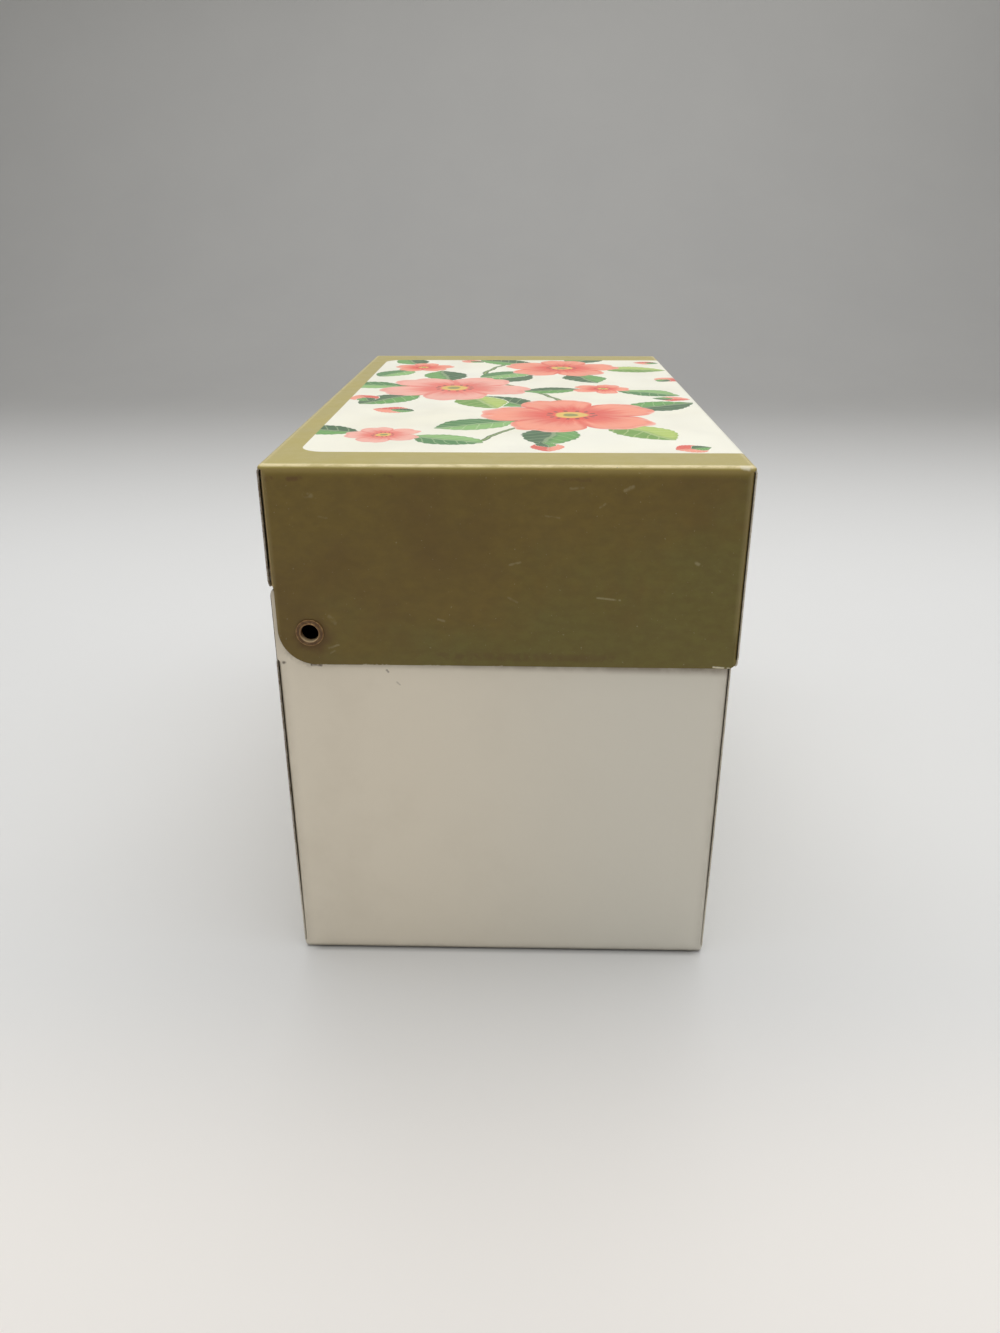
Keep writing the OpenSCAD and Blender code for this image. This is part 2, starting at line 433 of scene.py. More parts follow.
def start_group(name, inputs, outputs):
    """A new node group. Its inputs are a place in mm and those named with a default: a number, a vector of
    three or a colour of four values. Gives back the group, its recipe, place and other inputs, and a
    function to be called with its outputs."""
    tree = bpy.data.node_groups.new(name, "ShaderNodeTree")
    for label, default in {"Place": (0, 0, 0), **inputs}.items():
        kind = {3: "Vector", 4: "Color"}[len(default)] if isinstance(default, tuple) else "Float"
        socket = tree.interface.new_socket(label, in_out="INPUT", socket_type="NodeSocket" + kind)
        socket.default_value = default
    for label in outputs:
        kind = "Color" if label == "Colour" else "Float"
        tree.interface.new_socket(label, in_out="OUTPUT", socket_type="NodeSocket" + kind)
    recipe = Recipe(tree)
    given = {socket.name: Value(recipe, socket) for socket in tree.nodes.new("NodeGroupInput").outputs}
    given_back = tree.nodes.new("NodeGroupOutput").inputs

    def give(**values):
        recipe.join_all(values, given_back)

    return tree, recipe, given["Place"], given, give


def in_mm(corner):
    return tuple(value / mm for value in corner)


def start_material(name, roughness, metallic=0, coat=0, coat_roughness=0.03, specular=0.5):
    """A new material, its shader's plain values set on the shader itself. Gives back the material, its
    recipe, a function that joins results to the shader, and object coordinates in mm."""
    material = bpy.data.materials.new(name)
    material.use_nodes = True
    recipe = Recipe(material.node_tree)
    shader = material.node_tree.nodes["Principled BSDF"].inputs
    recipe.join_all({"Roughness": roughness, "Metallic": metallic, "Coat Weight": coat,
                     "Coat Roughness": coat_roughness, "Specular IOR Level": specular}, shader)
    object_place = recipe.add("TexCoord", {})[3]

    def paint(colour, roughness=None, metallic=None, height=None, bump=None):
        """Joins the values that aren't plain. Where height is 1, the surface stands out by bump."""
        values = {"Base Color": colour, "Roughness": roughness, "Metallic": metallic}
        if bump is not None:
            values["Normal"] = recipe.add("Bump", {"Strength": 1, "Distance": bump, "Height": height})[0]
        recipe.join_all({key: value for key, value in values.items() if value is not None}, shader)

    return material, recipe, paint, recipe.scaled(object_place, 1 / mm)


# Edge wear: how far a point is from the nearest edge of a box, and the rubbed patches along it
edge_wear, r, place, given, give = start_group(
    "edge wear", {"Low": (0, 0, 0), "High": (1, 1, 1), "Reach": 0.6, "Amount": 0.5}, ["Worn", "Distance"])
gaps = r.split(r.vector("MINIMUM", abs(place - given["Low"]), abs(given["High"] - place)))
lesser, greater = r.math("MINIMUM", gaps[0], gaps[1]), r.math("MAXIMUM", gaps[0], gaps[1])
to_edge = r.math("MAXIMUM", lesser, r.math("MINIMUM", greater, gaps[2]))
patchy = r.noise(place, 0.22, 4, 0.65)
fine = r.noise(place, 2.6, 3, 0.6)
chance = patchy * 0.7 + fine * 0.3
near = r.math("SUBTRACT", 1, to_edge / given["Reach"], clamp=True)
limit = 0.86 - near * given["Amount"] * 0.5
give(Worn=r.step(chance, limit, limit + 0.05) * r.step(near, 0, 0.2), Distance=to_edge)

# Enamel skin: faint mottling, dark pinhole specks and the fine unevenness of stoved enamel
enamel_skin, r, place, given, give = start_group(
    "enamel skin", {"Colour": (1, 1, 1, 1), "Stain": (0.3, 0.2, 0.1, 1), "Mottling": 0.1, "Specks": 0.5},
    ["Colour", "Roughness", "Height"])
cloud = r.noise(place, 0.045, 5, 0.6)
grain = r.noise(place, 5, 3, 0.6)
stain = r.step(cloud, 0.42, 0.78) * given["Mottling"]
skin = r.over(stain, given["Colour"], given["Stain"])
speck_far, speck_chance = r.spots(place, 0.33)
speck_size = r.step(speck_chance, 0.72, 1) * 0.085
speck = r.step(speck_size - speck_far, 0, 0.03) * given["Specks"]
skin = r.over(speck, skin, given["Stain"])
smear = r.noise(place * (1, 1, 2.5), 0.11, 4, 0.62)
gloss = r.step(smear, 0.3, 0.75, 0.3, 0.46) + speck * 0.3
wave = r.noise(place, 0.5, 2)
give(Colour=skin, Roughness=gloss + grain * 0.05, Height=wave * 0.75 + grain * 0.02)

# A mark: a short or long line between two points that fades in and out, for scratches, chips and specks
mark, r, place, given, give = start_group(
    "mark", {"From": (0, 0, 0), "To": (1, 0, 0), "Width": 0.1}, ["Mask"])
run = given["To"] - given["From"]
off = place - given["From"]
share = r.math("DIVIDE", r.vector("DOT_PRODUCT", off, run), r.vector("DOT_PRODUCT", run, run), clamp=True)
across = r.vector("DISTANCE", off, r.scaled(run, share))
ragged = given["Width"] * (r.noise(place, 1.9, 3) + 0.5)
line = r.step(across, ragged, ragged * 0.2)
give(Mask=line * r.step(r.noise(place, 0.8, 2), 0.3, 0.55))


def marked(recipe, place, x, lines):
    """The marks on the end at x. Each is from y, from z, to y, to z, width, strength, in mm."""
    flat = place * (0, 1, 1)
    found = 0
    for from_y, from_z, to_y, to_z, width, strength in lines:
        line = recipe.place(mark, Place=flat, From=(0, from_y, from_z), To=(0, to_y, to_z), Width=width)
        found = recipe.math("MAXIMUM", found, line["Mask"] * strength)
    return found * recipe.step(recipe.split(place)[0], x + 1, x + 0.6)


# Cream enamel of the base, with dirt in the corners, dirt and painted shade along the foot, a painted shadow
# under the lid's edge and a painted shade along the ear
cream_paint = (231, 221, 201)
cream_stain = (139, 118, 84)
base_specks_and_ear_shade = [
    (37.55, 60.3, 37.3, 60.3, 0.36, 0.85), (32.8, 59.95, 31.2, 59.9, 0.4, 0.9),
    # The wide, faint first mark on the next line is a painted shade along the ear's lower back edge; the
    # others are dark specks
    (36.4, 62.2, 33.4, 60.3, 1.3, 0.25), (20.1, 59, 19.9, 58.7, 0.3, 0.6),
    (18.5, 56.8, 18, 56.3, 0.22, 0.35),
]
cream, r, paint, place = start_material("cream enamel", 0.4, coat=0.35, coat_roughness=0.22)
skin = r.place(enamel_skin, Place=place, Colour=cream_paint, Stain=cream_stain, Mottling=0.1, Specks=0.75)
wear = r.place(edge_wear, Place=place, Low=in_mm(base_low), High=in_mm(base_high), Reach=0.9, Amount=0.55)
worn = wear["Worn"]
_, depth_y, height = r.split(place)
less_yellow = r.step(depth_y, 25, -30)
grime = r.step(wear["Distance"], 2.6, 0.2) * r.noise(place, 0.35, 3, 0.6)
# Dirt and painted shade darken the foot, where the fold turns under
foot = r.step(height + r.noise(place, 0.5, 3) * 0.3, 1.2, 0.3)
# Painted shadow under the lid's lower edge, reaching further down towards the front, broken up by noise
lid_edge_shadow = r.step(height - (58.65 + depth_y * 0.018), 0, 1.9) * r.step(height, 62, 60.8)
lid_edge_shadow *= r.step(depth_y, 34, 30.5)
lid_edge_shadow *= r.step(r.noise(place, 0.3, 4, 0.6), 0.3, 0.65, 0.6, 0.95)
tinted = r.layered(
    skin["Colour"],
    (less_yellow, (222, 217, 203)),
    (grime * 0.3, (120, 104, 78)),
    # dirt and painted shade along the foot
    (foot * 0.6, (92, 86, 75)),
    # painted shadow under the lid's edge
    (lid_edge_shadow, (132, 118, 98)),
    # dark specks, and the painted shade along the ear
    (marked(r, place, -base_half_l / mm, base_specks_and_ear_shade), (78, 60, 42)),
    (worn, (128, 116, 96)))
paint(tinted, skin["Roughness"] + worn * 0.15, worn * 0.6, skin["Height"] - worn * 0.1, 0.05 * mm)

# Bare tinplate inside both halves: bright, with the mill's fine lengthwise lines and dull patches
tin, r, paint, place = start_material("bare tinplate", 0.32, metallic=1)
lines = r.noise(place * (0.06, 2.2, 2.2), 1, 4, 0.7)
dull = r.noise(place, 0.05, 5, 0.62)
bloom = r.over(r.step(dull, 0.35, 0.75), (205, 202, 193), (168, 163, 150))
rust_far, rust_chance = r.spots(place + r.combine(r.noise(place, 0.7), 0, 0), 0.16)
rust = r.step(r.step(rust_chance, 0.8, 1) * 0.12 - rust_far, 0, 0.04)
bloom = r.over(rust * 0.8, bloom, (120, 84, 52))
paint(bloom, r.step(dull, 0.3, 0.8, 0.24, 0.44) + lines * 0.12, 1 - rust * 0.8, lines, 0.012 * mm)

# Cut edge of the sheet: grey steel with brown freckles, drawn lighter low down and at the front
cut_edge, r, paint, place = start_material("cut edge", 0.5, metallic=0.3)
freckles = r.step(r.noise(place, 1.1, 4, 0.7), 0.42, 0.6)
bare_edge = r.over(freckles, (158, 153, 142), (108, 92, 72))
_, edge_y, edge_z = r.split(place)
lighter_low_and_front = r.math("MAXIMUM", r.step(edge_z, 34, 8, 0, 0.85), r.step(edge_y, 15, -15, 0, 0.6))
paint(r.over(lighter_low_and_front, bare_edge, (212, 204, 186)), r.step(freckles, 0, 1, 0.42, 0.7))


def base_blank():
    mesh = bmesh.new()
    low_y, high_y, half_x = base_low.y, base_high.y, base_half_l
    sides = ((-1, low_y), (1, high_y))
    walls = [(side, face_y, fold_start(side, face_y, base_tucks[side])) for side, face_y in sides]
    window = [pivot.y - base_hole_margin, pivot.y + base_hole_margin]
    columns = levelled([walls[0][2], *window, walls[1][2]], [16, 8, 2])
    xs = spaced(-half_x + fold_r, half_x - fold_r, 32)
    closed_pan(mesh, half_x, low_y, high_y, xs, columns, foot_rise, base_corner[0])
    for side, face_y, _ in walls:
        hemmed_wall(mesh, side, face_y, half_x, xs, base_h, base_corner, base_notch)
    hem_start = base_h - hem_zone
    window_h = [pivot.z - base_hole_margin, pivot.z + base_hole_margin]
    depths = levelled([*base_corner[:2], *base_notch, window_h[0], hem_start], [4, 20, 4, 1, 8])
    depths = sorted(depths + [window_h[1]])
    across, down = span(columns, *window), span(depths, *window_h)
    outline = [(y, window_h[0]) for y in across]
    outline += [(window[1], depth) for depth in down[1:]]
    outline += [(y, window_h[1]) for y in across[-2::-1]]
    outline += [(window[0], depth) for depth in down[-2:0:-1]]

    def inside(y, depth):
        return window[0] < y < window[1] and window_h[0] < depth < window_h[1]

    for end in (-1, 1):
        holed_panel(mesh, columns, depths, inside, outline, Vector((pivot.y, pivot.z)), base_hole_r,
                    lambda y, depth: (end * half_x, y, depth))
        for side, face_y, _ in walls:
            flanged_corner(mesh, end, half_x, side, face_y, base_tucks[side], face_y - side * panel_short,
                           depths, base_corner, base_notch[0], base_notch)
        # The flat top above the flanges, folded back in a strip a little shorter than itself
        rows = []
        for inset, depth in rim_profile(base_h, spaced(hem_start, base_h - hem_r, 8)[:-1]):
            folded = eased(inset, hem_lean, hem_lean + 2 * hem_r)
            drawn_in = panel_short + (2 * plate + seam_gap - panel_short) * folded
            front, back = (spaced(fold_y, face_y - side * drawn_in, 2 * arc_steps)[1:]
                           for side, face_y, fold_y in walls)
            rows.append([(end * (half_x - inset), y, depth) for y in front[::-1] + columns + back])
        lay_patch(mesh, rows)
    for vertex in mesh.verts:
        vertex.co += bowed(vertex.co, half_x, low_y, high_y, base_h, base_bow)
    return mesh


base = sheet_piece("base_tray", base_blank(), Vector((0, 0, -1)), [cream, tin, cut_edge])
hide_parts("base_shell")
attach(base, "base")

# Lid: one blank folded down on four sides, olive enamel with a printed panel of blossoms on top that
# runs over the front fold. Front and short back skirts are folded back at their edges, and the end
# skirts are left raw, with a rounded ear round each pivot.
lid_low, lid_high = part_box("lid_shell")
lid_half_l = lid_high.x
lid_top = lid_high.z
lid_depth = lid_top - lid_low.z
back_skirt_gap = 0.7 * mm
ear_r = 6.2 * mm
# The ears' rounding is a little in front of the pivots
ear_forward = 0.85 * mm
lid_tucks = {-1: 0.26 * mm, 1: 0.85 * mm}
lid_flare = 0.32 * mm
skirt_corner_r = 1.3 * mm
lid_hole_r = 1.75 * mm
lid_bow = 0.05 * mm
lid_rise = 0.6 * mm
lid_corner = (0.62 * mm, 0.95 * mm, 1, 2 * mm)
# Half the depth over which the back flanges give way to the ears, and how far from its front fold an end
# skirt follows its rounded corner
back_notch_half = 0.3 * mm
strip_w = 3 * mm


def lid_blank():
    mesh = bmesh.new()
    half_x, low_y, high_y = lid_half_l, -lid_high.y, lid_high.y
    back_depth = lid_top - base_h - back_skirt_gap
    centre = Vector((pivot.y, lid_top - pivot.z))
    fold_front, fold_back = fold_start(-1, low_y, lid_tucks[-1]), fold_start(1, high_y, lid_tucks[1])
    ear_y = pivot.y - ear_forward
    ear_front, ear_back = ear_y - ear_r, ear_y + ear_r
    ear_top, ear_level = lid_depth - 2 * ear_r, lid_depth - ear_r
    keep_y = fold_front + strip_w
    columns = levelled([fold_front, keep_y, ear_front, fold_back], [3, 15, 9])
    xs = spaced(-half_x + fold_r, half_x - fold_r, 36)
    closed_pan(mesh, half_x, low_y, high_y, xs, columns, lid_rise, lid_corner[0])
    front_flange, back_flange = lid_depth - hem_zone - hem_easing, back_depth - hem_zone - hem_easing
    round_start = lid_depth - skirt_corner_r
    front_notch = (round_start - hem_easing / 2, round_start)
    back_notch = (back_depth - back_notch_half, back_depth + back_notch_half)
    hemmed_wall(mesh, -1, low_y, half_x, xs, lid_depth, lid_corner, front_notch)
    # The back wall covers the flanges down to its rim
    hemmed_wall(mesh, 1, high_y, half_x, xs, back_depth, lid_corner, (back_depth, back_depth + hem_easing))

    # Depths of the end panels, with every level at which a corner or the ear changes
    levels = [*lid_corner[:2], back_flange, *back_notch, ear_top, ear_level, front_flange, *front_notch]
    depths = levelled(levels, [4, 8, 3, 4, 2, 5, 3, 3, 4])
    depths += [round_start + skirt_corner_r * math.sin(turn) for turn in spaced(0, math.pi / 2, 7)[1:]]
    front_edge_y = low_y + plate + seam_gap

    def on_end(end):
        """Places points on the end skirt, whose free front edge is rounded at its lower corner."""
        def place(y, depth):
            down = max(depth - round_start, 0)
            if y < keep_y and down > 0:
                pushed = skirt_corner_r - math.sqrt(max(skirt_corner_r ** 2 - down ** 2, 0))
                y += pushed * (keep_y - y) / (keep_y - front_edge_y)
            return (end * half_x, y, depth)
        return place

    top_ys = span(columns, ear_front, fold_back) + spaced(fold_back, ear_back, 2 * arc_steps)[1:]
    outline = [(y, ear_top) for y in top_ys]
    outline += [(ear_back, depth) for depth in span(depths, ear_top, ear_level)[1:]]
    outline += [(ear_y + ear_r * math.cos(turn), ear_level + ear_r * math.sin(turn))
                for turn in spaced(0, math.pi / 2, 16)[1:]]
    outline += [(y, lid_depth) for y in spaced(ear_y, ear_front, 5)[1:]]
    outline += [(ear_front, depth) for depth in span(depths, ear_top, lid_depth)[-2:0:-1]]

    def inside(y, depth):
        return y > ear_front and depth > ear_top

    for end in (-1, 1):
        place = on_end(end)
        holed_panel(mesh, columns, depths, inside, outline, centre, lid_hole_r, place)
        flanged_corner(mesh, end, half_x, -1, low_y, lid_tucks[-1], front_edge_y,
                       span(depths, 0, round_start), lid_corner, front_flange, front_notch)
        strip = spaced(front_edge_y, fold_front, 2 * arc_steps)
        lay_patch(mesh, [[place(y, depth) for y in strip] for depth in span(depths, round_start, lid_depth)])
        flanged_corner(mesh, end, half_x, 1, high_y, lid_tucks[1], ear_back, span(depths, 0, ear_top),
                       lid_corner, back_flange, back_notch)
    for vertex in mesh.verts:
        x, y, depth = vertex.co
        vertex.co += bowed(vertex.co, half_x, low_y, high_y, lid_depth, lid_bow)
        # The end skirts spring out a little towards their free lower front corners
        if half_x - abs(x) < face_reach:
            sprung = eased(-y, -ear_front, -low_y) * eased(depth, lid_depth / 2, lid_depth)
            vertex.co.x += math.copysign(lid_flare * sprung, x)
        vertex.co.z = lid_top - vertex.co.z
    # The printed faces are the top and the front; the rest is plain olive
    for face in mesh.faces:
        x, y, z = face.calc_center_median()
        if abs(x) < half_x - fold_r and (z > lid_top - fold_r or y < low_y + fold_r):
            face.material_index = 1
    return mesh


# Olive enamel, as a group, since the plain skirts and the print's border are the same coat
olive_coat, r, place, _, give = start_group("olive coat", {}, ["Colour", "Roughness", "Height", "Bare"])
far_x, far_y, top_z = in_mm(lid_high)
skin = r.place(enamel_skin, Place=place, Colour=(114, 94, 35), Stain=(88, 62, 28),
               Mottling=0.5, Specks=0.35)
wear = r.place(edge_wear, Place=place, Low=in_mm(lid_low), High=in_mm(lid_high), Reach=0.7, Amount=0.7)
worn = wear["Worn"]
along, depth_y, height = r.split(place)
below_top = top_z - height
# Greener low down and towards the front, in broad uneven patches
greener = below_top * 0.016 + depth_y * -0.0055 + r.noise(place, 0.055, 4, 0.6)
# It is finely mottled all over. Painted sheen lightens the top, a painted highlight runs along and just
# under the top's folds, broken up in places, and a fainter painted highlight runs down the upper part of the
# upright folds
mottled = r.noise(place * (1, 0.6, 1.1), 0.6, 6, 0.66)
broken = r.step(r.noise(place * (1, 0.35, 1), 0.9, 5, 0.65), 0.36, 0.58, 0.4, 1)
broken *= r.step(abs(along), far_x - 1.4, far_x - 1.1, 0.35, 1)
fold_highlight = r.step(wear["Distance"], 1.2, 0.75) * r.step(below_top, 0.4, 0.12)
upright_highlight = r.step(wear["Distance"], 1.6, 0.6) * r.step(below_top, 30, 26, 0, 0.22)
# The end skirts' folds are painted lighter where they go in behind the walls, most at the back: painted
# light in the shaded seams
from_side = far_y - abs(depth_y)
seam_light = r.step(from_side, 0.9, 0.6) * r.step(from_side, 0.05, 0.15)
seam_light *= r.step(depth_y, 0, 1, 0.1, 0.8) * r.step(below_top, 0.5, 0.9)
seam_light *= r.step(abs(along), far_x - 1.1, far_x - 0.9)
tinted = r.layered(
    skin["Colour"],
    (r.step(greener, 0.66, 1.02, 0, 0.62), (106, 102, 45)),
    (r.step(mottled, 0.3, 0.7, 0, 0.45), (94, 76, 28)),
    # painted highlight under the top's folds, painted sheen on the top, and painted highlights along the
    # folds
    (r.step(below_top, 2.2, 0.4, 0, 0.36), (165, 145, 54)),
    (r.step(below_top, 0.75, 0.15, 0, 0.95), (180, 165, 84)),
    (fold_highlight * broken, (238, 222, 168)),
    (upright_highlight, (190, 172, 122)),
    # painted light in the seams
    (seam_light, (200, 176, 128)),
    (worn, (176, 166, 140)))
give(Colour=tinted, Roughness=skin["Roughness"] + worn * 0.05, Height=skin["Height"], Bare=worn * 0.7)

# Plain olive skirts, with the scratches of use on the end nearest the camera and a brown bloom of rust
# round the pivots, heavier below and to the front of each
olive, r, paint, place = start_material("olive enamel", 0.4, coat=0.14, coat_roughness=0.2, specular=0.3)
coat = r.place(olive_coat, Place=place)
end_x = -lid_half_l / mm
scratches = [
    (-14.8, 72.5, -18.6, 72.1, 0.26, 0.32), (31.5, 89.3, 30.6, 89.2, 0.6, 0.16),
    (-10.1, 90.5, -12.1, 90.6, 0.3, 0.18), (-18.6, 90.2, -19.8, 90.8, 0.45, 0.22),
    (-14.8, 87.5, -15.6, 88.1, 0.25, 0.18), (-0.7, 78, -2.4, 78.4, 0.3, 0.2),
    (-0.5, 72.4, -1.9, 71.6, 0.3, 0.12), (11.1, 68.5, 10, 68.2, 0.3, 0.2),
    (29.1, 68.9, 28.2, 67.7, 0.5, 0.12), (29.5, 63.2, 27.9, 63.8, 0.3, 0.25),
    (29.3, 62.3, 28.6, 62.7, 0.25, 0.15), (-30.5, 78.5, -30.9, 78.3, 0.4, 0.3),
    (29.6, 85.8, 28.3, 85.6, 0.25, 0.12), (-6.2, 86.1, -8.5, 85.8, 0.25, 0.12),
]
chips = [(-34.7, 60.45, -37.3, 60.25, 0.24, 0.8), (-36.4, 93.9, -38.2, 93.5, 0.5, 0.8)]
stains = [
    (11, 61.9, -17.5, 61.8, 1.1, 0.3), (37.4, 91.8, 36.7, 91.9, 0.6, 0.5),
    (33.9, 91.8, 32.1, 91.9, 0.6, 0.5), (18.7, 92.4, 17.5, 92.2, 0.35, 0.35),
    (-9, 91.9, -13.1, 91.8, 0.4, 0.35),
]
marks = marked(r, place, end_x, scratches)
rubs = r.noise(place * (1, 0.5, 2), 0.9, 5, 0.75)
marks = r.math("MAXIMUM", marks, r.step(rubs, 0.69, 0.78, 0, 0.3))
marks = r.math("MAXIMUM", marks, r.step(r.noise(place, 2.2, 2), 0.7, 0.78, 0, 0.3))
halo_middle = (0, pivot.y / mm - 0.5, pivot.z / mm - 0.6)
around = (place - halo_middle) * (0, 1, 1)
halo_far = r.vector("LENGTH", around) + r.noise(place, 0.7, 4, 0.6) * 2.2
halo = r.step(halo_far, 5, 3)
colour = r.layered(
    coat["Colour"],
    (marks, (186, 176, 140)),
    (marked(r, place, end_x, stains), (88, 54, 28)),
    (marked(r, place, end_x, chips), (232, 224, 196)),
    (halo * 0.6, (86, 56, 26)))
paint(colour, coat["Roughness"] + halo * 0.2, coat["Bare"], coat["Height"] - marks * 0.2, 0.05 * mm)

# The print, laid out on the flat sheet before it was folded: U runs along the tin, and V from the back
# edge of the top, over the front fold, and down the front. A cream field with round corners in an olive
# border holds blossoms, buds and leaves on two waved stems.
field_low = (-58.5, -64.6)
field_high = (58.5, 34.2)
field_r = 4.2
leaf_tones = [
    ((96, 164, 66), (24, 92, 28)),
    ((182, 206, 92), (112, 160, 48)),
    ((138, 190, 104), (58, 130, 52)),
    ((252, 156, 128), (230, 80, 60)),
]
deep_green, pale_green, grey_green, bud_coral = range(4)
petal_tones = [((255, 158, 128), (238, 80, 58)), ((255, 184, 166), (242, 112, 94))]
coral, pink = range(2)
# Blossoms: middle U, middle V, size, turn in degrees, tone, and the ways in which its leaves point. The
# leaves start at this share of its size from its middle.
leaf_start = 0.6
blossoms = [
    (-24, -12, 19, 12, coral, (40, 118, 168, 216, 300)),
    (10, 13, 18, 40, pink, (10, 78, 140, 200, 322)),
    (43, -12, 15.5, 66, coral, (52, 130, 196, 262, 338)),
    (-33, -53, 10.5, 30, pink, (20, 160, 205, 342)),
    (27, -53, 11.5, 8, coral, (18, 150, 196, 330)),
    (-44, 22, 7.5, 20, pink, (70, 250)),
    (9, -20, 7, 50, coral, (100, 240)),
    (44, 23, 8, 0, coral, (20, 150)),
    (-3, -56, 6, 15, coral, (80, 250)),
]
# Leaves: foot U, foot V, length, turn in degrees, plumpness, tone
leaves = []
for u, v, size, turn, tone, ways in blossoms:
    for number, way in enumerate(ways):
        foot_u = u + leaf_start * size * math.cos(math.radians(way))
        foot_v = v + leaf_start * size * math.sin(math.radians(way))
        leaf_tone = (deep_green, grey_green, deep_green, pale_green)[number % 4]
        leaves.append((foot_u, foot_v, 0.3 * size + 12.5, way, 1.2, leaf_tone))
# Buds: foot U, foot V, length, turn in degrees
buds = [
    (-20, 19, 9, 75), (-50, -6, 8, 190), (-8, 30, 8, 20), (-4, -30, 8, 262),
    (54, 8, 7, 60), (20, -34, 8, 320), (-54, -34, 7, 110), (52, -38, 7, 75),
]
for u, v, length, turn in buds:
    leaves.append((u, v, length, turn, 1.6, bud_coral))
    leaves.append((u, v, length * 0.55, turn, 1.8, deep_green))
# Stems: swing of the wave, its length along U, its start, height V, and where it begins and ends along U
stems = [(9, 92, 10, -2, -52, 55), (5, 66, -8, -53, -50, 52)]


def toned(recipe, tone, colours):
    """The colour whose number is tone."""
    found = colours[0]
    for number, colour in enumerate(colours[1:], start=1):
        found = recipe.over(recipe.math("GREATER_THAN", tone, number - 0.5), found, colour)
    return found


def laid_out(recipe, sheet_place, u, v, width, height, turn, tone):
    """The place as a motif sees it: its foot at 0, its length 1, and its tone as the third value."""
    inputs = {"Vector": sheet_place, "Location": (u, v, -tone), "Rotation": (0, 0, math.radians(turn)),
              "Scale": (width, height, 1)}
    return recipe.add("Mapping", inputs, vector_type="TEXTURE")[0]


def carried(recipe, test, under, motif):
    """The motif's own place where the test is met, and under elsewhere."""
    return recipe.add("Mix", {0: test, 4: under, 5: motif}, data_type="VECTOR")[1]


printed, r, paint, place = start_material("printed panel", 0.4, coat=0.2, coat_roughness=0.16, specular=0.4)
along, depth_y, height = r.split(place)
unfolded = (abs(depth_y) + (top_z - height)) * r.math("SIGN", depth_y)
sheet_place = r.combine(along, unfolded, 0)
middle = [(low + high) / 2 for low, high in zip(field_low, field_high)]
half = [(high - low) / 2 - field_r for low, high in zip(field_low, field_high)]
past_corner = r.vector("MAXIMUM", abs(sheet_place - (*middle, 0)) - (*half, 0), (0, 0, 0))
beyond = r.vector("LENGTH", past_corner) - field_r
in_field = r.step(beyond, 0.08, -0.08)
ink = r.over(r.step(r.noise(sheet_place, 0.03, 3), 0.35, 0.75), (253, 251, 235), (250, 246, 225))
wander = r.combine(r.noise(sheet_place, 0.09), r.noise(sheet_place, 0.13), 0.5)
drift = sheet_place + r.scaled(wander - (0.5, 0.5, 0.5), 3)

# Stems, under the leaves
u, v, _ = r.split(drift)
for swing, length, start, height, low_u, high_u in stems:
    phase = (u - start) * (2 * math.pi / length)
    path = r.math("SINE", phase) * swing + height
    slope = r.math("COSINE", phase) * (2 * math.pi * swing / length)
    steep = r.math("SQRT", slope * slope + 1)
    off_stem = abs(v - path) / steep
    within = r.step(u, low_u, low_u + 1) * r.step(u, high_u, high_u - 1)
    ink = r.over(r.step(off_stem, 0.62, 0.46) * within, ink, (86, 118, 62))
    ink = r.over(r.step(off_stem, 0.2, 0.1) * within, ink, (150, 172, 96))

# Leaves and buds: pointed at both ends, in two tones with a pale midrib and side veins. The uppermost one
# at each place is found first, and drawn once.
uppermost = (0, 1, 0)
for foot_u, foot_v, length, turn, plump, tone in leaves:
    motif = laid_out(r, drift, foot_u, foot_v, length, length * plump, turn, tone)
    u, v, _ = r.split(motif)
    uppermost = carried(r, r.math("GREATER_THAN", u * (1 - u), abs(v)), uppermost, motif)
u, v, tone = r.split(uppermost)
aside = abs(v)
belly = u * (1 - u)
teeth = r.math("PINGPONG", u * 11, 0.5) * 0.03
room = belly - aside - teeth * r.step(belly, 0.02, 0.1)
light, dark = (toned(r, tone, colours) for colours in zip(*leaf_tones))
rough_v = v + r.noise(drift, 1.3, 2) * 0.05
veins = r.math("PINGPONG", (u - aside * 0.9) * 6.5, 0.5)
lines = r.math("MAXIMUM", r.step(veins, 0.09, 0.03), r.step(aside, 0.024, 0.01))
leaf = r.layered(
    dark,
    (r.step(rough_v, 0, 0.09), light),
    (lines * 0.4, r.over(0.55, light, (0.9, 0.9, 0.62, 1))),
    (r.step(room, 0.05, 0, 0, 0.35), dark))
ink = r.over(r.step(room, 0, 0.012), ink, leaf)

# Blossoms: five notched petals, deep at the heart and pale at the tips, with a ring of stamens
uppermost = (9, 9, 0)
for middle_u, middle_v, size, turn, tone, _ in blossoms:
    motif = laid_out(r, drift, middle_u, middle_v, size, size, turn, tone)
    reach = r.vector("LENGTH", motif * (1, 1, 0))
    uppermost = carried(r, r.math("LESS_THAN", reach, 1.02), uppermost, motif)
x, y, tone = r.split(uppermost)
out = r.vector("LENGTH", r.combine(x, y, 0))
way = r.math("ARCTAN2", y, x)
tip, heart = (toned(r, tone, colours) for colours in zip(*petal_tones))
petal = abs(r.math("COSINE", way * 2.5))
swell = r.math("POWER", petal, 0.62) * 0.36
notch = r.math("POWER", petal, 26) * 0.07
wobble = r.noise(drift, 0.16, 2) * 0.1
rim = 0.56 + swell + wobble - notch
depth = out / rim
streaks = r.noise(r.combine(way * 9, out * 1.6, tone), 1, 2)
shade = depth + (streaks - 0.5) * 0.5
between = r.step(petal, 0.34, 0.06) * r.step(depth, 0.1, 0.5)
curl = r.step(depth, 0.86, 0.93) * r.step(depth, 1, 0.95)
stamens = r.step(r.math("COSINE", way * 14), 0.2, 0.7) * r.step(abs(out - 0.23), 0.035, 0.015)
